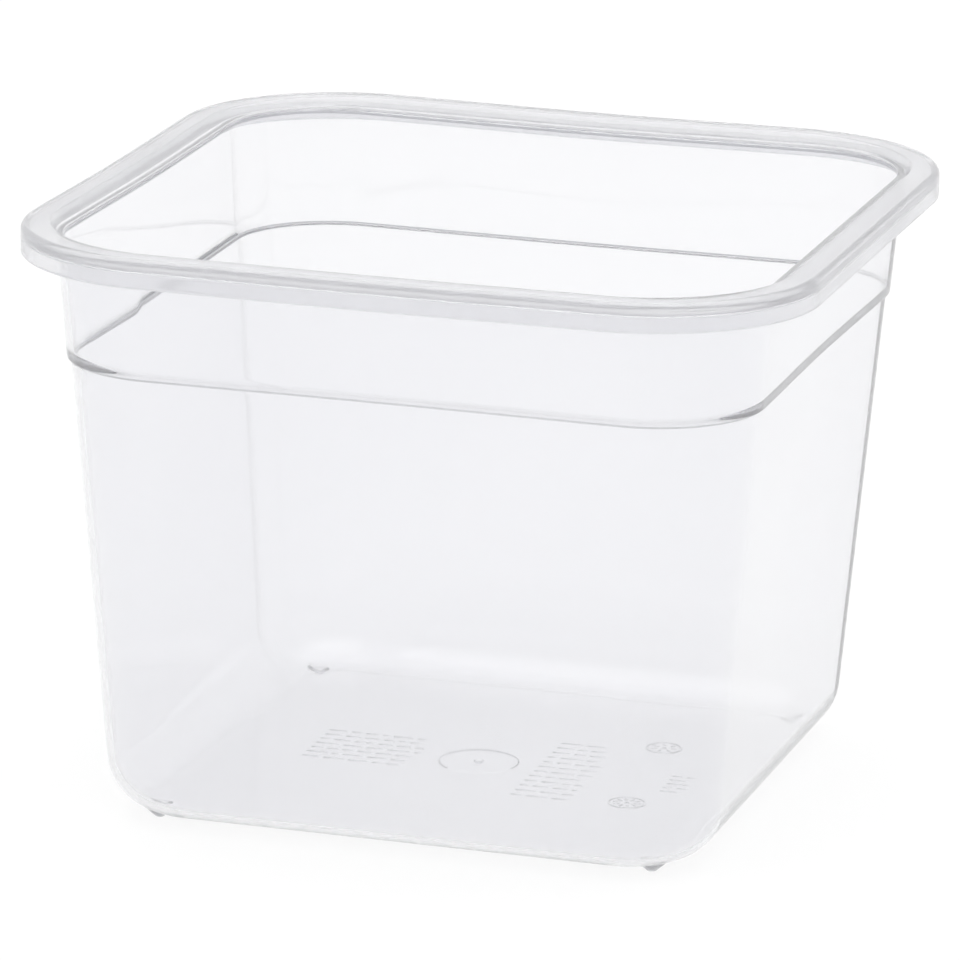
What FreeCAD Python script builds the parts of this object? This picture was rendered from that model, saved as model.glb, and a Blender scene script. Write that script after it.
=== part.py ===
# Square food storage tub, open at the top, moulded in one piece.
#
# Millimetres, +Z up.  The origin is the middle of the footprint, on the
# surface that the four feet stand on.  The walls are square to X and Y.
#
# From the bottom up the tub is: four small dome feet, a flat floor with a
# round recess and the gate nub under its middle, a large radius between floor
# and walls, tapered walls with round corners, a small outward step about
# three quarters of the way up, a slightly steeper band above the step, and a
# thick flat rim that turns down into a skirt.  A shallow shelf runs round the
# inside of the rim and takes the edge of a lid.

import os

import FreeCAD
import Part
import Sketcher

doc = FreeCAD.newDocument("StorageTub")

# ---------------------------------------------------------------- dimensions
sheet = doc.addObject("Spreadsheet::Sheet", "Dims")
DIMS = [
    # alias, value, meaning
    ("foot_high", 0.95, "feet stand this far below the floor's underside"),
    ("foot_round", 1.85, "foot radius where it meets the floor"),
    ("foot_flat", 0.60, "radius of the flat on the end of a foot"),
    ("foot_place", 47.6, "foot centre from the middle, along X and along Y"),
    ("base_half", 58.35, "half width of the walls, carried down to the underside"),
    ("base_round", 17.20, "corner radius there"),
    ("base_fillet", 10.60, "radius between the underside and the walls"),
    ("wall_thick", 1.10, "wall thickness"),
    ("floor_thick", 1.20, "floor thickness"),
    ("step_high", 88.00, "height of the outward step"),
    ("step_half", 65.10, "half width of the walls just under the step"),
    ("step_round", 20.25, "corner radius there"),
    ("band_half", 65.80, "half width of the band just over the step"),
    ("band_round", 20.75, "corner radius there"),
    ("band_top_half", 67.66, "half width of the band at rim height"),
    ("band_top_round", 21.40, "corner radius there"),
    ("step_soft", 0.45, "radius on the step's edges"),
    ("rim_high", 112.90, "height of the rim's flat top"),
    ("rim_half", 75.00, "half width of the rim"),
    ("rim_round", 32.45, "corner radius of the rim"),
    ("rim_thick", 2.35, "thickness of the rim's top plate"),
    ("rim_soft", 1.30, "radius on the rim's outer top edge"),
    ("skirt_high", 5.40, "height of the skirt, from the flat top"),
    ("skirt_thick", 1.25, "thickness of the skirt"),
    ("shelf_deep", 1.45, "depth of the shelf under the flat top"),
    ("shelf_top_half", 69.60, "half width of the recess at the flat top"),
    ("shelf_top_round", 27.60, "corner radius there"),
    ("shelf_half", 68.75, "half width of the recess at the shelf"),
    ("shelf_round", 26.75, "corner radius there"),
    ("shelf_soft", 0.40, "radius where the shelf turns down into the wall"),
    ("gate_recess_round", 7.70, "radius of the round recess under the floor"),
    ("gate_recess_deep", 0.35, "depth of that recess"),
    ("gate_round", 0.90, "radius of the gate nub"),
]
sheet.set("A1", "name")
sheet.set("B1", "value")
sheet.set("C1", "meaning")
for row, (alias, value, meaning) in enumerate(DIMS, start=2):
    sheet.set("A%d" % row, alias)
    sheet.set("B%d" % row, repr(float(value)))
    sheet.set("C%d" % row, meaning)
    sheet.setAlias("B%d" % row, alias)
doc.recompute()
DIM = {alias: float(sheet.get(alias)) for alias, _, _ in DIMS}

# ---------------------------------------------------------------- the body
body = doc.addObject("PartDesign::Body", "container")
body.Label = "container"
body.Placement = FreeCAD.Placement(FreeCAD.Vector(0, 0, 0), FreeCAD.Rotation())
doc.recompute()


def origin_feature(role):
    for feature in body.Origin.OriginFeatures:
        if feature.Role == role:
            return feature
    raise RuntimeError("no origin feature " + role)


XY = origin_feature("XY_Plane")
XZ = origin_feature("XZ_Plane")
Z_AXIS = origin_feature("Z_Axis")


def add_loop(sketch, tag, half_value, round_value, half_rule, round_rule):
    """One closed rounded square about the sketch's origin, fully constrained."""
    h, q = half_value, round_value
    c = h - q
    V = FreeCAD.Vector
    n = sketch.GeometryCount
    arcs = [(c, -c, 270, 360), (c, c, 0, 90), (-c, c, 90, 180), (-c, -c, 180, 270)]
    lines = [
        (V(-c, -h, 0), V(c, -h, 0)),
        (V(h, -c, 0), V(h, c, 0)),
        (V(c, h, 0), V(-c, h, 0)),
        (V(-h, c, 0), V(-h, -c, 0)),
    ]
    from math import radians
    geometry = []
    for (p, q2), (x, y, a0, a1) in zip(lines, arcs):
        geometry.append(Part.LineSegment(p, q2))
        circle = Part.Circle(V(x, y, 0), V(0, 0, 1), q)
        geometry.append(Part.ArcOfCircle(circle, radians(a0), radians(a1)))
    sketch.addGeometry(geometry, False)
    con = []
    for k in range(4):
        line, arc = n + 2 * k, n + 2 * k + 1
        following = n + (2 * k + 2) % 8
        con.append(Sketcher.Constraint("Tangent", line, 2, arc, 1))
        con.append(Sketcher.Constraint("Tangent", arc, 2, following, 1))
        if k:
            con.append(Sketcher.Constraint("Equal", n + 1, arc))
    con.append(Sketcher.Constraint("Horizontal", n))
    con.append(Sketcher.Constraint("Vertical", n + 2))
    con.append(Sketcher.Constraint("Horizontal", n + 4))
    con.append(Sketcher.Constraint("Vertical", n + 6))
    con.append(Sketcher.Constraint("Symmetric", n + 1, 3, n + 5, 3, -1, 1))
    sketch.addConstraint(con)
    names = []
    for kind, made in (
        ("wide", Sketcher.Constraint("DistanceX", n + 6, 1, n + 2, 1, 2 * h)),
        ("long", Sketcher.Constraint("DistanceY", n, 1, n + 4, 1, 2 * h)),
        ("turn", Sketcher.Constraint("Radius", n + 1, q)),
    ):
        index = sketch.addConstraint(made)
        name = tag + kind
        sketch.renameConstraint(index, name)
        names.append(name)
    sketch.setExpression("Constraints." + names[0], "2 * (%s)" % half_rule)
    sketch.setExpression("Constraints." + names[1], "2 * (%s)" % half_rule)
    sketch.setExpression("Constraints." + names[2], round_rule)


def value_of(rule):
    """The number that a sheet rule gives, so a sketch starts where it ends."""
    total, sign = 0.0, 1.0
    for word in rule.replace("(", " ").replace(")", " ").split():
        if word == "+":
            sign = 1.0
        elif word == "-":
            sign = -1.0
        elif word.startswith("Dims."):
            total += sign * DIM[word[5:]]
        else:
            total += sign * float(word)
    return total


def outline(name, height_rule, *loops):
    """A sketch of rounded squares at a height; each loop is (half, round)."""
    sketch = body.newObject("Sketcher::SketchObject", name)
    sketch.AttachmentSupport = [(XY, "")]
    sketch.MapMode = "FlatFace"
    sketch.AttachmentOffset = FreeCAD.Placement(
        FreeCAD.Vector(0, 0, value_of(height_rule)), FreeCAD.Rotation())
    sketch.setExpression("AttachmentOffset.Base.z", height_rule)
    for k, (half_rule, round_rule) in enumerate(loops):
        add_loop(sketch, "abc"[k], value_of(half_rule), value_of(round_rule),
                 half_rule, round_rule)
    doc.recompute()
    return sketch


def loft(kind, name, first, second):
    feature = body.newObject("PartDesign::" + kind, name)
    feature.Profile = first
    feature.Sections = [second]
    feature.Ruled = True
    doc.recompute()
    return feature


def edges_where(feature, test):
    found = []
    for k, edge in enumerate(feature.Shape.Edges, start=1):
        if test(edge):
            found.append("Edge%d" % k)
    if not found:
        raise RuntimeError("no edge found on " + feature.Name)
    return found


def level(height, low_reach, high_reach, tol=0.02):
    """Edges that lie at one height, with their farthest point in a range."""
    def test(edge):
        box = edge.BoundBox
        if abs(box.ZMin - height) > tol or abs(box.ZMax - height) > tol:
            return False
        reach = max(abs(box.XMin), abs(box.XMax), abs(box.YMin), abs(box.YMax))
        return low_reach < reach < high_reach
    return test


def soften(name, base, names, rule):
    feature = body.newObject("PartDesign::Fillet", name)
    feature.Base = (base, names)
    feature.Radius = value_of(rule)
    feature.setExpression("Radius", rule)
    doc.recompute()
    if "Invalid" in feature.State or "Error" in feature.State:
        raise RuntimeError(name + " failed")
    return feature


# ------------------------------------------------------- outside of the walls
foot_z = "Dims.foot_high"
under = outline("UndersideOutline", foot_z, ("Dims.base_half", "Dims.base_round"))
under_step = outline("UnderStepOutline", "Dims.step_high",
                     ("Dims.step_half", "Dims.step_round"))
walls = loft("AdditiveLoft", "Walls", under, under_step)

over_step = outline("OverStepOutline", "Dims.step_high",
                    ("Dims.band_half", "Dims.band_round"))
band_top = outline("BandTopOutline", "Dims.rim_high",
                   ("Dims.band_top_half", "Dims.band_top_round"))
band = loft("AdditiveLoft", "Band", over_step, band_top)

# ------------------------------------------------------------ rim and skirt
plate_sketch = outline("RimOutline", "Dims.rim_high - Dims.rim_thick",
                       ("Dims.rim_half", "Dims.rim_round"))
plate = body.newObject("PartDesign::Pad", "RimPlate")
plate.Profile = plate_sketch
plate.Length = DIM["rim_thick"]
plate.setExpression("Length", "Dims.rim_thick")
doc.recompute()

skirt_sketch = outline(
    "SkirtOutline", "Dims.rim_high - Dims.skirt_high",
    ("Dims.rim_half", "Dims.rim_round"),
    ("Dims.rim_half - Dims.skirt_thick", "Dims.rim_round - Dims.skirt_thick"))
skirt = body.newObject("PartDesign::Pad", "Skirt")
skirt.Profile = skirt_sketch
skirt.Length = DIM["skirt_high"] - DIM["rim_thick"]
skirt.setExpression("Length", "Dims.skirt_high - Dims.rim_thick")
doc.recompute()

# ------------------------------------------------------------------- inside
floor_z = "Dims.foot_high + Dims.floor_thick"
inner_step_z = "Dims.step_high + Dims.wall_thick"
inner_floor = outline("FloorOutline", floor_z,
                      ("Dims.base_half - Dims.wall_thick",
                       "Dims.base_round - Dims.wall_thick"))
inner_under = outline("InnerStepOutline", inner_step_z,
                      ("Dims.step_half - Dims.wall_thick",
                       "Dims.step_round - Dims.wall_thick"))
cavity = loft("SubtractiveLoft", "Cavity", inner_floor, inner_under)

inner_over = outline("InnerBandOutline", inner_step_z,
                     ("Dims.band_half - Dims.wall_thick",
                      "Dims.band_round - Dims.wall_thick"))
inner_top = outline("MouthOutline", "Dims.rim_high",
                    ("Dims.band_top_half - Dims.wall_thick",
                     "Dims.band_top_round - Dims.wall_thick"))
mouth = loft("SubtractiveLoft", "Mouth", inner_over, inner_top)

shelf_low = outline("ShelfOutline", "Dims.rim_high - Dims.shelf_deep",
                    ("Dims.shelf_half", "Dims.shelf_round"))
shelf_top = outline("RecessOutline", "Dims.rim_high",
                    ("Dims.shelf_top_half", "Dims.shelf_top_round"))
shelf = loft("SubtractiveLoft", "LidShelf", shelf_low, shelf_top)

floor_soft = soften(
    "FloorRadius", shelf,
    edges_where(shelf, level(DIM["foot_high"] + DIM["floor_thick"], 0, 60)),
    "Dims.base_fillet - Dims.wall_thick")
bottom_soft = soften(
    "BottomRadius", floor_soft,
    edges_where(floor_soft, level(DIM["foot_high"], 0, 60)),
    "Dims.base_fillet")
rim_soft = soften(
    "RimRadius", bottom_soft,
    edges_where(bottom_soft, level(DIM["rim_high"], 74.0, 76.0)),
    "Dims.rim_soft")
step_soft = soften(
    "StepRadius", rim_soft,
    edges_where(rim_soft, level(DIM["step_high"], DIM["band_half"] - 0.1,
                                DIM["band_half"] + 0.1)),
    "Dims.step_soft")
inner_half = DIM["step_half"] - DIM["wall_thick"]
inner_step_soft = soften(
    "InnerStepRadius", step_soft,
    edges_where(step_soft, level(DIM["step_high"] + DIM["wall_thick"],
                                 inner_half - 0.1, inner_half + 0.1)),
    "Dims.step_soft")
shelf_edge_half = (DIM["band_top_half"] - DIM["wall_thick"]
                   - (DIM["band_top_half"] - DIM["band_half"])
                   * DIM["shelf_deep"] / (DIM["rim_high"] - DIM["step_high"]))
shelf_soft = soften(
    "ShelfRadius", inner_step_soft,
    edges_where(inner_step_soft, level(DIM["rim_high"] - DIM["shelf_deep"],
                                       shelf_edge_half - 0.15,
                                       shelf_edge_half + 0.15)),
    "Dims.shelf_soft")

# --------------------------------------------------------------------- feet
foot_sketch = body.newObject("Sketcher::SketchObject", "FootProfile")
foot_sketch.AttachmentSupport = [(XZ, "")]
foot_sketch.MapMode = "FlatFace"
foot_sketch.AttachmentOffset = FreeCAD.Placement(
    FreeCAD.Vector(DIM["foot_place"], 0, DIM["foot_place"]), FreeCAD.Rotation())
foot_sketch.setExpression("AttachmentOffset.Base.x", "Dims.foot_place")
foot_sketch.setExpression("AttachmentOffset.Base.z", "Dims.foot_place")
V = FreeCAD.Vector
flat, wide, high = DIM["foot_flat"], DIM["foot_round"], DIM["foot_high"]
top = high + 0.5 * DIM["floor_thick"]
dome_mid = V(0.5 * (flat + wide) + 0.20, 0.5 * high - 0.16, 0)
dome = Part.Arc(V(flat, 0, 0), dome_mid, V(wide, high, 0))
foot_sketch.addGeometry([
    Part.LineSegment(V(0, 0, 0), V(flat, 0, 0)),
    dome,
    Part.LineSegment(V(wide, high, 0), V(wide, top, 0)),
    Part.LineSegment(V(wide, top, 0), V(0, top, 0)),
    Part.LineSegment(V(0, top, 0), V(0, 0, 0)),
], False)
foot_sketch.addConstraint([
    Sketcher.Constraint("Coincident", 0, 2, 1, 1),
    Sketcher.Constraint("Coincident", 1, 2, 2, 1),
    Sketcher.Constraint("Coincident", 2, 2, 3, 1),
    Sketcher.Constraint("Coincident", 3, 2, 4, 1),
    Sketcher.Constraint("Coincident", 4, 2, 0, 1),
    Sketcher.Constraint("Coincident", 0, 1, -1, 1),
    Sketcher.Constraint("Horizontal", 0),
    Sketcher.Constraint("Vertical", 2),
    Sketcher.Constraint("Horizontal", 3),
    Sketcher.Constraint("Vertical", 4),
])
for name, rule, made in (
    ("flat", "Dims.foot_flat", Sketcher.Constraint("DistanceX", 0, 1, 0, 2, flat)),
    ("wide", "Dims.foot_round", Sketcher.Constraint("DistanceX", 0, 1, 1, 2, wide)),
    ("high", "Dims.foot_high", Sketcher.Constraint("DistanceY", 0, 1, 1, 2, high)),
    ("root", "Dims.foot_high + 0.5 * Dims.floor_thick",
     Sketcher.Constraint("DistanceY", 4, 2, 4, 1, top)),
    ("dome", None, Sketcher.Constraint("Radius", 1, dome.toShape().Curve.Radius)),
):
    index = foot_sketch.addConstraint(made)
    foot_sketch.renameConstraint(index, name)
    if rule:
        foot_sketch.setExpression("Constraints." + name, rule)
doc.recompute()

before = body.Shape.Volume
foot = body.newObject("PartDesign::Revolution", "Foot")
foot.Profile = foot_sketch
foot.ReferenceAxis = (foot_sketch, ["V_Axis"])
foot.Angle = 360.0
doc.recompute()
feet = body.newObject("PartDesign::PolarPattern", "Feet")
feet.Originals = [foot]
feet.Axis = (Z_AXIS, [""])
feet.Angle = 360.0
feet.Occurrences = 4
body.Tip = feet
doc.recompute()
print("feet add %.2f mm3" % (body.Shape.Volume - before))

# --------------------------------------------------------------------- gate
gate_sketch = body.newObject("Sketcher::SketchObject", "GateProfile")
gate_sketch.AttachmentSupport = [(XZ, "")]
gate_sketch.MapMode = "FlatFace"
r0, r1 = DIM["gate_round"], DIM["gate_recess_round"]
z0, z1 = DIM["foot_high"], DIM["foot_high"] + DIM["gate_recess_deep"]
gate_sketch.addGeometry([
    Part.LineSegment(V(r0, z0 - 0.2, 0), V(r1, z0 - 0.2, 0)),
    Part.LineSegment(V(r1, z0 - 0.2, 0), V(r1, z1, 0)),
    Part.LineSegment(V(r1, z1, 0), V(r0, z1, 0)),
    Part.LineSegment(V(r0, z1, 0), V(r0, z0 - 0.2, 0)),
], False)
gate_sketch.addConstraint([
    Sketcher.Constraint("Coincident", 0, 2, 1, 1),
    Sketcher.Constraint("Coincident", 1, 2, 2, 1),
    Sketcher.Constraint("Coincident", 2, 2, 3, 1),
    Sketcher.Constraint("Coincident", 3, 2, 0, 1),
    Sketcher.Constraint("Horizontal", 0),
    Sketcher.Constraint("Vertical", 1),
    Sketcher.Constraint("Horizontal", 2),
    Sketcher.Constraint("Vertical", 3),
])
for name, rule, made in (
    ("nub", "Dims.gate_round", Sketcher.Constraint("DistanceX", -1, 1, 0, 1, r0)),
    ("reach", "Dims.gate_recess_round",
     Sketcher.Constraint("DistanceX", -1, 1, 0, 2, r1)),
    ("low", "Dims.foot_high - 0.2",
     Sketcher.Constraint("DistanceY", -1, 1, 0, 1, z0 - 0.2)),
    ("deep", "Dims.foot_high + Dims.gate_recess_deep",
     Sketcher.Constraint("DistanceY", -1, 1, 1, 2, z1)),
):
    index = gate_sketch.addConstraint(made)
    gate_sketch.renameConstraint(index, name)
    gate_sketch.setExpression("Constraints." + name, rule)
doc.recompute()
before = body.Shape.Volume
recess = body.newObject("PartDesign::Groove", "GateRecess")
recess.Profile = gate_sketch
recess.ReferenceAxis = (gate_sketch, ["V_Axis"])
recess.Angle = 360.0
body.Tip = recess
doc.recompute()
print("gate recess cuts %.2f mm3" % (before - body.Shape.Volume))
if before - body.Shape.Volume < 10:
    raise RuntimeError("the gate recess cut nothing")

# ---------------------------------------------------------------- checks, out
doc.recompute()
for thing in doc.Objects:
    if "Invalid" in thing.State or "Error" in thing.State:
        raise RuntimeError("object failed: %s %s" % (thing.Name, thing.State))
nodes = [body]
for node in nodes:
    shape = node.Shape
    if shape.isNull() or not shape.isValid():
        raise RuntimeError("bad shape: " + node.Label)
    if len(shape.Solids) != 1:
        raise RuntimeError("%s has %d solids" % (node.Label, len(shape.Solids)))
os.makedirs("parts", exist_ok=True)
for node in nodes:
    shape = node.Shape
    shape.exportStep("parts/%s.step" % node.Label)
    box = shape.BoundBox
    print("%s volume %.1f mm3  X %.2f..%.2f  Y %.2f..%.2f  Z %.2f..%.2f" % (
        node.Label, shape.Volume, box.XMin, box.XMax, box.YMin, box.YMax,
        box.ZMin, box.ZMax))
    print("mass at 905 kg/m3: %.1f g" % (shape.Volume * 905e-6))
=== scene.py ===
"""A square food tub in clear, slightly milky plastic, empty and without its lid.

Metres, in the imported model's own frame: the origin is the middle of the
footprint on the surface it stands on, +Z up, the long walls along X and Y.
"""
import math

import bmesh
import bpy
import numpy as np
from mathutils import Matrix, Vector
from mathutils.geometry import delaunay_2d_cdt


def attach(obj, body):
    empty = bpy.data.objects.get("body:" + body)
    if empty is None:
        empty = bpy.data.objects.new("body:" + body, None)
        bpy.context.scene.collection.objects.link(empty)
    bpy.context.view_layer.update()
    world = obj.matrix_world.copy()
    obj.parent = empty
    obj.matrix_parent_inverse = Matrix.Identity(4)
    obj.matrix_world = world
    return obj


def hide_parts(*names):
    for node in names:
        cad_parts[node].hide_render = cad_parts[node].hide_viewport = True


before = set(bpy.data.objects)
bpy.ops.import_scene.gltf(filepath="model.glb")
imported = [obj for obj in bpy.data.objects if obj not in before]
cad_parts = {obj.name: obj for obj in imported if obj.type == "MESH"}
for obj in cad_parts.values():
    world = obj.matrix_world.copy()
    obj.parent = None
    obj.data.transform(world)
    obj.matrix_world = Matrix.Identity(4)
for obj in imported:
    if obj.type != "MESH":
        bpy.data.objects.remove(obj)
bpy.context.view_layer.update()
MM = 0.001
scene = bpy.context.scene


# ------------------------------------------------------------------- camera
def make_camera():
    az, el, roll = 0.2939, 0.2669, 0.0170
    back = Vector((math.sin(az) * math.cos(el), -math.cos(az) * math.cos(el), math.sin(el)))
    right = Vector((math.cos(az), math.sin(az), 0.0))
    up = right.cross(-back)
    x = right * math.cos(roll) + up * math.sin(roll)
    y = up * math.cos(roll) - right * math.sin(roll)
    place = Vector((0, 0, 0.057174)) + right * -0.000807 + back * 1.418757
    data = bpy.data.cameras.new("camera")
    data.lens, data.sensor_width, data.sensor_fit = 282.513, 36.0, "HORIZONTAL"
    data.clip_start, data.clip_end = 0.05, 60.0
    camera = bpy.data.objects.new("camera", data)
    scene.collection.objects.link(camera)
    turn = Matrix((x, y, back)).transposed().to_4x4()
    camera.matrix_world = Matrix.Translation(place) @ turn
    scene.camera = camera


make_camera()

# ------------------------------------------------------ sizes, millimetres
FOOT_HIGH, FOOT_FLAT, FOOT_ROUND, FOOT_PLACE = 0.95, 0.60, 1.85, 47.6
BASE_HALF, BASE_ROUND, BASE_FILLET = 58.35, 17.20, 10.60
WALL, FLOOR_THICK, FLOOR_FILLET = 1.10, 1.20, 9.50
STEP_HIGH, STEP_HALF, STEP_ROUND, STEP_SOFT = 88.00, 65.10, 20.25, 0.45
BAND_HALF, BAND_ROUND, BAND_TOP_HALF, BAND_TOP_ROUND = 65.80, 20.75, 67.66, 21.40
RIM_HIGH, RIM_HALF, RIM_ROUND = 112.90, 75.00, 32.45
RIM_THICK, RIM_SOFT, SKIRT_HIGH, SKIRT_THICK = 2.35, 1.30, 5.40, 1.25
SHELF_DEEP, SHELF_TOP_HALF, SHELF_TOP_ROUND = 1.45, 69.60, 27.60
SHELF_HALF, SHELF_ROUND, SHELF_SOFT = 68.75, 26.75, 0.40
GATE_RECESS, GATE_DEEP, GATE_NUB = 7.70, 0.35, 0.90
UNDER = FOOT_HIGH
INSIDE = FOOT_HIGH + FLOOR_THICK

CORNER, SIDE = 72, 14          # segments in a corner's arc and on a straight side


def body_at(z):
    """Half width and corner radius of the outer wall below the step."""
    t = (z - UNDER) / (STEP_HIGH - UNDER)
    return (BASE_HALF + t * (STEP_HALF - BASE_HALF),
            BASE_ROUND + t * (STEP_ROUND - BASE_ROUND))


def band_at(z):
    """The same for the band between the step and the rim."""
    t = (z - STEP_HIGH) / (RIM_HIGH - STEP_HIGH)
    return (BAND_HALF + t * (BAND_TOP_HALF - BAND_HALF),
            BAND_ROUND + t * (BAND_TOP_ROUND - BAND_ROUND))


# ------------------------------------------------------------ rounded squares
def ring_rule():
    """For each point of a ring: its weights on the half width and on the corner
    radius, and how far it is from the nearest corner, from 0 to 1 mid-side."""
    a, b, mid, inward = [], [], [], []
    signs = [(1, -1), (1, 1), (-1, 1), (-1, -1)]
    for k, (sx, sy) in enumerate(signs):
        start = math.radians(-90 + 90 * k)
        for i in range(CORNER + 1):
            t = start + math.radians(90) * i / CORNER
            a.append((sx, sy))
            b.append((math.cos(t) - sx, math.sin(t) - sy))
            mid.append(0.0)
            inward.append((0.0, 0.0))
        nx, ny = signs[(k + 1) % 4]
        end = (math.cos(start + math.pi / 2), math.sin(start + math.pi / 2))
        for i in range(1, SIDE):
            f = i / SIDE
            a.append((sx + f * (nx - sx), sy + f * (ny - sy)))
            b.append(((end[0] - sx) * (1 - f) + (end[0] - nx) * f,
                      (end[1] - sy) * (1 - f) + (end[1] - ny) * f))
            t = 2 * f - 1
            mid.append((1 - t * t) ** 2)
            inward.append((-end[0], -end[1]))
    return np.array(a, float), np.array(b, float), np.array(mid), np.array(inward)


RING_A, RING_B, RING_MID, RING_IN = ring_rule()
COUNT = len(RING_A)


def smooth(x, lo, hi):
    t = np.clip((x - lo) / (hi - lo), 0.0, 1.0)
    return t * t * (3 - 2 * t)


def ring(half, turn, z):
    """The points of one ring. A moulded wall draws in a little between its
    corners as it cools, and the rim sags a touch there."""
    flat = RING_A * half + RING_B * turn
    s = np.clip((z - 12.0) / 101.0, 0.0, 1.0)
    bow = 0.42 * math.sin(math.pi * s) + 0.22 * s
    flat = flat + RING_IN * (RING_MID * bow)[:, None]
    sag = 0.22 * RING_MID * smooth(z, 92.0, 106.0)
    return np.column_stack([flat, z - sag])


# ------------------------------------------------------------------- profile
def arc(cx, cz, r, a0, a1, n):
    """Points of an arc in the (half width, height) plane, angles in degrees
    from the outward direction."""
    for i in range(n + 1):
        t = math.radians(a0 + (a1 - a0) * i / n)
        yield cx + r * math.cos(t), cz + r * math.sin(t)


def fillet_on_wall(radius, floor_z, half_at, sign):
    """Centre of the arc that joins a level surface to the leaning wall, and the
    wall's lean in degrees. sign, passed as 1 for the outside of the tub, is not used."""
    k = (STEP_HALF - BASE_HALF) / (STEP_HIGH - UNDER)
    zc = floor_z + radius
    cx = half_at(zc) - radius * math.hypot(1, k)
    return cx, zc, math.degrees(math.atan(k))


STEP_TALL = 2.4               # height that the double bend inside the step takes
CORNER_THICK = 0.8            # the inner corners' radius, more than one of even wall


def step_inside(steps=16):
    """The inner wall at the step, from the band down to the body."""
    low, high = STEP_HIGH + 1.0 - STEP_TALL / 2, STEP_HIGH + 1.0 + STEP_TALL / 2
    for i in range(steps + 1):
        t = 1 - i / steps
        z = low + t * (high - low)
        a, b = body_at(z)[0] - WALL, band_at(z)[0] - WALL
        yield a + (b - a) * t * t * (3 - 2 * t), z


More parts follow.
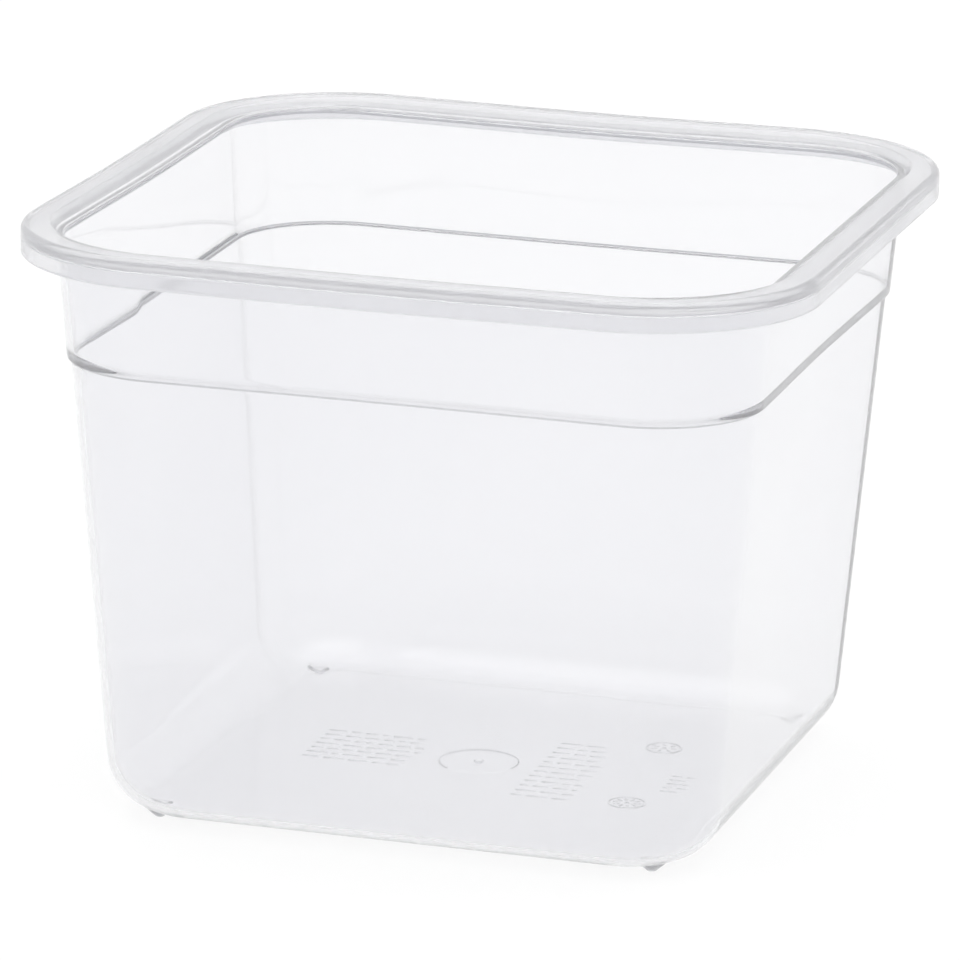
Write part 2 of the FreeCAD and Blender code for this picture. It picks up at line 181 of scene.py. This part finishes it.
def profile():
    """The tub's section, from under the floor out, up, over the rim and down
    the inside, as (half width, corner radius, height)."""
    out = []
    part = ["wall"]

    def put(half, turn, z):
        out.append((half, turn, z, part[0]))

    def body(half, z):              # a point near the body wall, offset from it
        h, r = body_at(z)
        put(half, r - (h - half), z)

    def band(half, z):
        h, r = band_at(z)
        put(half, r - (h - half), z)

    def body_in(half, z):           # the same for the inner surface
        h, r = body_at(z)
        put(half, r - (h - half) + CORNER_THICK, z)

    def band_in(half, z):
        h, r = band_at(z)
        put(half, r - (h - half) + CORNER_THICK, z)

    # under the floor: the edge of the level part, then the large radius; the
    # feet stand out of these rings, so they are close together there
    cx, cz, lean = fillet_on_wall(BASE_FILLET, UNDER, lambda z: body_at(z)[0], 1)
    part[0] = "under"
    for level in (0.60, 0.45, 0.30, 0.15):
        body(cx - level, UNDER)
    for h, z in arc(cx, cz, BASE_FILLET, -90, -68, 26):
        body(h, z)
    part[0] = "wall"
    for h, z in list(arc(cx, cz, BASE_FILLET, -68, -lean, 25))[1:]:
        body(h, z)
    # outer wall
    for z in np.linspace(cz + 2.0, STEP_HIGH - 1.6, 18):
        body(body_at(z)[0], z)
    # the step out to the band: a small hollow corner and a rounded edge
    top = body_at(STEP_HIGH)[0]
    for z in (STEP_HIGH - 0.6, STEP_HIGH - 0.35):
        body(body_at(z)[0], z)
    part[0] = "ledge"
    body(top + 0.02, STEP_HIGH - 0.12)
    body(top + 0.08, STEP_HIGH - 0.03)
    body(top + 0.17, STEP_HIGH)
    for h, z in arc(BAND_HALF - STEP_SOFT, STEP_HIGH + STEP_SOFT, STEP_SOFT, -90, 0, 8):
        band(h, z)
    part[0] = "wall"
    band(band_at(STEP_HIGH + 0.8)[0], STEP_HIGH + 0.8)
    plate = RIM_HIGH - RIM_THICK
    for z in np.linspace(STEP_HIGH + 2.4, plate - 1.4, 6):
        band(band_at(z)[0], z)
    # under the rim's plate
    join = band_at(plate)[0]
    part[0] = "rim"
    for h, z in arc(join + 0.7, plate - 0.7, 0.7, 180, 90, 4):
        t = (h - join) / (RIM_HALF - SKIRT_THICK - join)
        put(h, BAND_TOP_ROUND + t * (RIM_ROUND - SKIRT_THICK - BAND_TOP_ROUND), z)
    inner = RIM_HALF - SKIRT_THICK
    for h in np.linspace(join + 1.0, inner - 0.75, 4):
        t = (h - join) / (inner - join)
        put(h, BAND_TOP_ROUND + t * (RIM_ROUND - SKIRT_THICK - BAND_TOP_ROUND), plate)
    # inside of the skirt
    turn = RIM_ROUND - SKIRT_THICK
    for h, z in arc(inner - 0.5, plate - 0.5, 0.5, 90, 0, 4):
        put(h, turn - (inner - h), z)
    low = RIM_HIGH - SKIRT_HIGH
    put(inner, turn, plate - 0.8)
    put(inner, turn, low + 0.7)
    for h, z in arc(inner + 0.32, low + 0.32, 0.32, 180, 270, 3):
        put(h, turn + (h - inner), z)
    put(RIM_HALF - 0.50, RIM_ROUND - 0.50, low)
    for h, z in arc(RIM_HALF - 0.38, low + 0.38, 0.38, -90, 0, 4):
        put(h, RIM_ROUND - (RIM_HALF - h), z)
    # outside of the skirt and the rounded shoulder
    for z in (low + 0.6, low + 1.9, RIM_HIGH - RIM_SOFT - 0.25):
        put(RIM_HALF, RIM_ROUND, z)
    for h, z in arc(RIM_HALF - RIM_SOFT, RIM_HIGH - RIM_SOFT, RIM_SOFT, 0, 90, 8):
        put(h, RIM_ROUND - (RIM_HALF - h), z)
    # flat top, narrower at the corners
    edge_in = RIM_HALF - RIM_SOFT
    for h in (edge_in - 0.25, edge_in - 1.4, SHELF_TOP_HALF + 1.2, SHELF_TOP_HALF + 0.42):
        t = (edge_in - h) / (edge_in - SHELF_TOP_HALF)
        put(h, (RIM_ROUND - RIM_SOFT) + t * (SHELF_TOP_ROUND - RIM_ROUND + RIM_SOFT), RIM_HIGH)
    for h, z in arc(SHELF_TOP_HALF + 0.28, RIM_HIGH - 0.28, 0.28, 90, 150, 3):
        put(h, SHELF_TOP_ROUND + (h - SHELF_TOP_HALF), z)
    # the slope down to the lid's shelf
    shelf = RIM_HIGH - SHELF_DEEP
    put(SHELF_HALF + 0.12, SHELF_ROUND + 0.12, shelf + 0.28)
    put(SHELF_HALF + 0.02, SHELF_ROUND + 0.02, shelf + 0.10)
    put(SHELF_HALF - 0.14, SHELF_ROUND - 0.14, shelf + 0.01)
    wall_in = band_at(shelf)[0] - WALL
    wall_turn = band_at(shelf)[1] - WALL + CORNER_THICK
    for h in (SHELF_HALF - 0.30, wall_in + 1.2, wall_in + SHELF_SOFT + 0.15):
        t = (SHELF_HALF - h) / (SHELF_HALF - wall_in)
        put(h, SHELF_ROUND + t * (wall_turn - SHELF_ROUND), shelf - 0.10 * t)
    for h, z in arc(wall_in + SHELF_SOFT, shelf - 0.1 - SHELF_SOFT, SHELF_SOFT, 90, 180, 5):
        put(h, wall_turn + (h - wall_in), z)
    # inside of the band
    part[0] = "wall"
    for z in np.linspace(shelf - 1.0, STEP_HIGH + 2.6, 6):
        band_in(band_at(z)[0] - WALL, z)
    # inside, the step is a soft double bend
    for h, z in step_inside():
        band_in(h, z)
    # inner wall
    for z in np.linspace(STEP_HIGH - 0.8, INSIDE + FLOOR_FILLET + 1.5, 18):
        body_in(body_at(z)[0] - WALL, z)
    cx, cz, lean = fillet_on_wall(FLOOR_FILLET, INSIDE, lambda z: body_at(z)[0] - WALL, -1)
    for h, z in arc(cx, cz, FLOOR_FILLET, -lean, -90, 34):
        body_in(h, z)
    half, turn, z, _ = out[-1]
    for back in (0.3, 2.5):
        put(half - back, turn - back, z)
    return out


# ------------------------------------------------- the underside, with its relief
CX_UNDER, CZ_UNDER, LEAN_UNDER = fillet_on_wall(BASE_FILLET, UNDER, lambda z: body_at(z)[0], 1)
CORE = BASE_HALF - BASE_ROUND            # the corner arcs' centres


def under_z(x, y):
    """Height of the bare underside: level, then the large radius."""
    qx, qy = abs(x) - CORE, abs(y) - CORE
    reach = math.hypot(qx, qy) if qx > 0 and qy > 0 else max(qx, qy)
    past = reach - (CX_UNDER - CORE)
    if past <= 0:
        return UNDER
    return CZ_UNDER - math.sqrt(max(BASE_FILLET ** 2 - past * past, 0.0))


def circle(cx, cy, r, n, turn=0.0):
    return [(cx + r * math.cos(turn + 2 * math.pi * i / n),
             cy + r * math.sin(turn + 2 * math.pi * i / n)) for i in range(n)]


def bar(cx, cy, long, wide, turn, grow=0.0, steps=4):
    """A bar with round ends, long along its own axis."""
    r = wide / 2 + grow
    h = max(long / 2 - wide / 2, 0.0)
    pts = []
    for side, start in ((1, -90), (-1, 90)):
        for i in range(steps + 1):
            t = math.radians(start + 180.0 * i / steps)
            pts.append((side * h + r * math.cos(t), r * math.sin(t)))
    c, s = math.cos(turn), math.sin(turn)
    return [(cx + x * c - y * s, cy + x * s + y * c) for x, y in pts]


def relief():
    """Plain bars and two ticked rings under the floor: loops of points, each
    with its own height. Nothing here is lettering."""
    loops = []
    high, slope = 0.22, 0.05

    def raised(make, depth=high):
        loops.append((make(0.0), UNDER))
        loops.append((make(-slope), UNDER + depth))

    # rows of short bars, set as text would be on such a floor, but plain
    rng = np.random.default_rng(7)

    def rows(x0, x1, y0, y1, count, wide, turn=0.0):
        for k in range(count):
            y = y0 + (y1 - y0) * (k + 0.5) / count
            x = x0
            while x < x1 - 1.2:
                long = float(rng.uniform(1.4, 4.6))
                long = min(long, x1 - x)
                if long > 0.9:
                    raised(lambda g, x=x, y=y, long=long: bar(x + long / 2, y, long, wide, turn, g))
                x += long + 0.8
    rows(-33.0, -12.0, -9.0, 11.0, 7, 0.62)
    rows(11.5, 23.0, -19.0, 18.0, 12, 0.55)
    rows(38.0, 42.5, -7.0, 5.0, 5, 0.50)

    def dial(cx, cy, r, ticks):
        for q in (r, r - 0.75):
            loops.append((circle(cx, cy, q + 0.20, 40), UNDER))
            loops.append((circle(cx, cy, q + 0.15, 40), UNDER + high))
            loops.append((circle(cx, cy, q - 0.15, 40), UNDER + high))
            loops.append((circle(cx, cy, q - 0.20, 40), UNDER))
            break
        for k in range(ticks):
            t = 2 * math.pi * k / ticks
            raised(lambda g, t=t: bar(cx + (r - 1.35) * math.cos(t), cy + (r - 1.35) * math.sin(t),
                                      1.3, 0.42, t, g, 3))
        raised(lambda g: circle(cx, cy, 0.45 + g, 14))
    dial(34.3, -15.0, 3.3, 10)
    dial(32.0, 20.5, 3.3, 7)
    return loops


def foot_z(s):
    """A foot's height at a distance from its axis: a flat, a soft edge, a cone."""
    soft = 0.28
    slope = (FOOT_HIGH - 0.10) / (FOOT_ROUND - FOOT_FLAT - soft)
    if s <= FOOT_FLAT:
        return 0.0
    t = (s - FOOT_FLAT) / soft
    if t < 1:
        return 0.10 * t * t
    return 0.10 + (s - FOOT_FLAT - soft) * slope


def with_feet(points):
    """Lowers the points that are on a foot."""
    for p in points:
        s = math.hypot(abs(p[0]) - FOOT_PLACE, abs(p[1]) - FOOT_PLACE)
        if s < FOOT_ROUND + 0.6:
            p[2] = min(p[2], foot_z(s))
    return points


def underside(boundary):
    """Triangles for the level part of the underside, within the boundary ring."""
    points, edges, heights = [], [], []

    def loop(pts, zs):
        first = len(points)
        n = len(pts)
        points.extend(Vector(p[:2]) for p in pts)
        heights.extend(zs)
        edges.extend((first + i, first + (i + 1) % n) for i in range(n))

    loop(boundary[:, :2], [float(z) for z in boundary[:, 2]])
    # gate: a round recess with a nub left in its middle
    for r, z, n in ((GATE_NUB - 0.25, UNDER - 0.12, 20), (GATE_NUB - 0.05, UNDER, 20),
                    (GATE_NUB + 0.08, UNDER + GATE_DEEP, 20),
                    (GATE_RECESS - 0.22, UNDER + GATE_DEEP, 72),
                    (GATE_RECESS, UNDER, 72)):
        loop(circle(0, 0, r, n), [z] * n)
    for pts, z in relief():
        loop(pts, [z] * len(pts))
    verts, _, faces, origin, _, _ = delaunay_2d_cdt(points, edges, [], 1, 1e-5, True)
    out = []
    for v, ids in zip(verts, origin):
        z = heights[ids[0]] if ids else under_z(v[0], v[1])
        out.append((v[0], v[1], z))
    tris = []
    for f in faces:
        f = list(f)
        a, b, c = (np.array(out[i][:2]) for i in f[:3])
        turn = (b[0] - a[0]) * (c[1] - a[1]) - (b[1] - a[1]) * (c[0] - a[0])
        tris.append(f if turn < 0 else f[::-1])      # facing down
    return np.array(out), tris


def build_tub():
    section = profile()
    rings = [with_feet(ring(*p[:3])) if p[3] == "under" else ring(*p[:3]) for p in section]
    verts = np.concatenate(rings)
    faces, milky = [], []
    for k in range(len(rings) - 1):
        a, b = k * COUNT, (k + 1) * COUNT
        if section[k][3] == section[k + 1][3] and section[k][3] in ("rim", "ledge"):
            milky.append((len(faces), len(faces) + COUNT))
        for i in range(COUNT):
            j = (i + 1) % COUNT
            faces.append((a + i, a + j, b + j, b + i))
    # the level inside floor, as a fan of narrowing rings
    last = rings[-1]
    base = (len(rings) - 1) * COUNT
    for f in (0.75, 0.5, 0.25):
        inner = last.copy()
        inner[:, :2] *= f
        verts = np.concatenate([verts, inner])
        new = len(verts) - COUNT
        for i in range(COUNT):
            j = (i + 1) % COUNT
            faces.append((base + i, base + j, new + j, new + i))
        base = new
    verts = np.concatenate([verts, [[0, 0, last[0, 2]]]])
    for i in range(COUNT):
        faces.append((base + i, base + (i + 1) % COUNT, len(verts) - 1))
    # the underside
    more, tris = underside(rings[0])
    first = len(verts)
    verts = np.concatenate([verts, more])
    faces += [tuple(first + i for i in t) for t in tris]
    mesh = bpy.data.meshes.new("tub")
    mesh.from_pydata((verts * MM).tolist(), [], faces)
    for a, b in milky:
        for polygon in mesh.polygons[a:b]:
            polygon.material_index = 1
    for polygon in mesh.polygons:
        if polygon.center.z < 0.80 * FOOT_HIGH * MM:         # the feet, thick too
            polygon.material_index = 1
    bm = bmesh.new()
    bm.from_mesh(mesh)
    bmesh.ops.remove_doubles(bm, verts=bm.verts, dist=2e-7)
    loose = [e for e in bm.edges if len(e.link_faces) != 2]
    print("tub: %d vertices, %d faces, %d edges without two faces" % (len(bm.verts), len(bm.faces), len(loose)))
    bm.to_mesh(mesh)
    bm.free()
    mesh.shade_smooth()
    mesh.set_sharp_from_angle(angle=math.radians(36))
    tub = bpy.data.objects.new("tub", mesh)
    scene.collection.objects.link(tub)
    return tub


tub = build_tub()


# ------------------------------------------------------------------ material
def plastic(name, clear, milk, rough_low, rough_high, dark):
    """Moulded polypropylene: clear, with a cold milky haze. What isn't clear
    scatters light back, and milk is the share that it scatters through. Both
    are more where it is thick, in the rim, ledge and feet, than in the walls.
    Dark is how fast light fades on a long way through the plastic, which draws
    its edges and turns."""
    m = bpy.data.materials.new(name)
    m.use_nodes = True
    nt = m.node_tree
    nt.nodes.clear()
    N, link = nt.nodes.new, nt.links.new
    out = N("ShaderNodeOutputMaterial")
    p = N("ShaderNodeBsdfPrincipled")
    p.inputs["Transmission Weight"].default_value = clear
    p.inputs["IOR"].default_value = 1.49
    haze = N("ShaderNodeBsdfTranslucent")
    haze.inputs["Color"].default_value = (0.945, 0.948, 0.985, 1)
    both = N("ShaderNodeMixShader")
    both.inputs["Fac"].default_value = milk
    link(p.outputs["BSDF"], both.inputs[1])
    link(haze.outputs["BSDF"], both.inputs[2])
    link(both.outputs["Shader"], out.inputs["Surface"])
    depth = N("ShaderNodeVolumeScatter")
    depth.inputs["Color"].default_value = (0.970, 0.973, 0.995, 1)
    depth.inputs["Density"].default_value = 35.0
    depth.inputs["Anisotropy"].default_value = 0.4
    loss = N("ShaderNodeVolumeAbsorption")
    loss.inputs["Color"].default_value = (0.200, 0.205, 0.290, 1)
    loss.inputs["Density"].default_value = dark
    inside = N("ShaderNodeAddShader")
    link(depth.outputs["Volume"], inside.inputs[0])
    link(loss.outputs["Volume"], inside.inputs[1])
    link(inside.outputs["Shader"], out.inputs["Volume"])
    where = N("ShaderNodeTexCoord")
    # colour: a cold milky white, a little uneven from the flow of the melt
    flow = N("ShaderNodeTexNoise")
    flow.inputs["Scale"].default_value = 14.0
    flow.inputs["Detail"].default_value = 1.0
    link(where.outputs["Object"], flow.inputs["Vector"])
    tint = N("ShaderNodeValToRGB")
    tint.color_ramp.elements[0].position = 0.30
    tint.color_ramp.elements[0].color = (0.962, 0.963, 0.979, 1)
    tint.color_ramp.elements[1].position = 0.70
    tint.color_ramp.elements[1].color = (0.974, 0.975, 0.989, 1)
    link(flow.outputs["Fac"], tint.inputs["Fac"])
    link(tint.outputs["Color"], p.inputs["Base Color"])
    # roughness: polished walls, with a fine haze that varies
    fine = N("ShaderNodeTexNoise")
    fine.inputs["Scale"].default_value = 45.0
    fine.inputs["Detail"].default_value = 2.0
    link(where.outputs["Object"], fine.inputs["Vector"])
    rough = N("ShaderNodeMapRange")
    rough.inputs["From Min"].default_value = 0.3
    rough.inputs["From Max"].default_value = 0.7
    rough.inputs["To Min"].default_value = rough_low
    rough.inputs["To Max"].default_value = rough_high
    link(fine.outputs["Fac"], rough.inputs["Value"])
    link(rough.outputs["Result"], p.inputs["Roughness"])
    # bump: slow waves of a cooled wall
    wave = N("ShaderNodeTexNoise")
    wave.inputs["Scale"].default_value = 20.0
    wave.inputs["Detail"].default_value = 0.0
    link(where.outputs["Object"], wave.inputs["Vector"])
    bump = N("ShaderNodeBump")
    bump.inputs["Strength"].default_value = 0.06
    bump.inputs["Distance"].default_value = 0.0004
    link(wave.outputs["Fac"], bump.inputs["Height"])
    link(bump.outputs["Normal"], p.inputs["Normal"])
    return m


tub.data.materials.append(plastic("clear_plastic", 0.98, 0.01, 0.02, 0.05, 8.0))
tub.data.materials.append(plastic("clear_plastic_rim", 0.88, 0.10, 0.08, 0.14, 4.0))
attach(tub, "root")
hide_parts("container")


# --------------------------------------------------------------------- stage
def smooth_step(nt, value, near, far, low, high):
    r = nt.nodes.new("ShaderNodeMapRange")
    r.interpolation_type = "SMOOTHSTEP"
    for key, x in (("From Min", near), ("From Max", far), ("To Min", low), ("To Max", high)):
        r.inputs[key].default_value = x
    nt.links.new(value, r.inputs["Value"])
    return r.outputs["Result"]


def floor_material():
    """A plain pale table, the same all over."""
    m = bpy.data.materials.new("floor")
    m.use_nodes = True
    m.cycles.emission_sampling = "NONE"      # wide and soft: bounced rays find it
    p = m.node_tree.nodes["Principled BSDF"]
    p.inputs["Base Color"].default_value = (0.15, 0.15, 0.15, 1)
    p.inputs["Roughness"].default_value = 1.0
    p.inputs["Specular IOR Level"].default_value = 0.0
    p.inputs["Emission Color"].default_value = (1, 1, 1, 1)
    p.inputs["Emission Strength"].default_value = 0.860
    return m


def make_floor():
    size = 4.0
    mesh = bpy.data.meshes.new("floor")
    mesh.from_pydata([(-size, -size, 0), (size, -size, 0), (size, size, 0), (-size, size, 0)],
                     [], [(0, 1, 2, 3)])
    mesh.materials.append(floor_material())
    floor = bpy.data.objects.new("floor", mesh)
    scene.collection.objects.link(floor)


make_floor()


def make_world():
    """A white studio all round, brighter overhead."""
    world = bpy.data.worlds.new("studio")
    scene.world = world
    world.use_nodes = True
    world.cycles.sampling_method = "NONE"    # likewise, and quicker through plastic
    nt = world.node_tree
    nt.nodes.clear()
    N, link = nt.nodes.new, nt.links.new
    out = N("ShaderNodeOutputWorld")
    bg = N("ShaderNodeBackground")
    link(bg.outputs["Background"], out.inputs["Surface"])
    where = N("ShaderNodeTexCoord")
    split = N("ShaderNodeSeparateXYZ")
    link(where.outputs["Generated"], split.inputs["Vector"])
    link(smooth_step(nt, split.outputs["Z"], 0.70, 0.95, 0.95, 1.90), bg.inputs["Strength"])
    bg.inputs["Color"].default_value = (1, 1, 1, 1)


make_world()

scene.view_settings.view_transform = "Standard"
scene.view_settings.look = "None"
scene.view_settings.exposure = 0.0
scene.view_settings.gamma = 1.0
scene.cycles.max_bounces = 24
scene.cycles.transmission_bounces = 24
scene.cycles.glossy_bounces = 12
scene.cycles.diffuse_bounces = 8
scene.cycles.volume_bounces = 8
scene.cycles.use_denoising = True
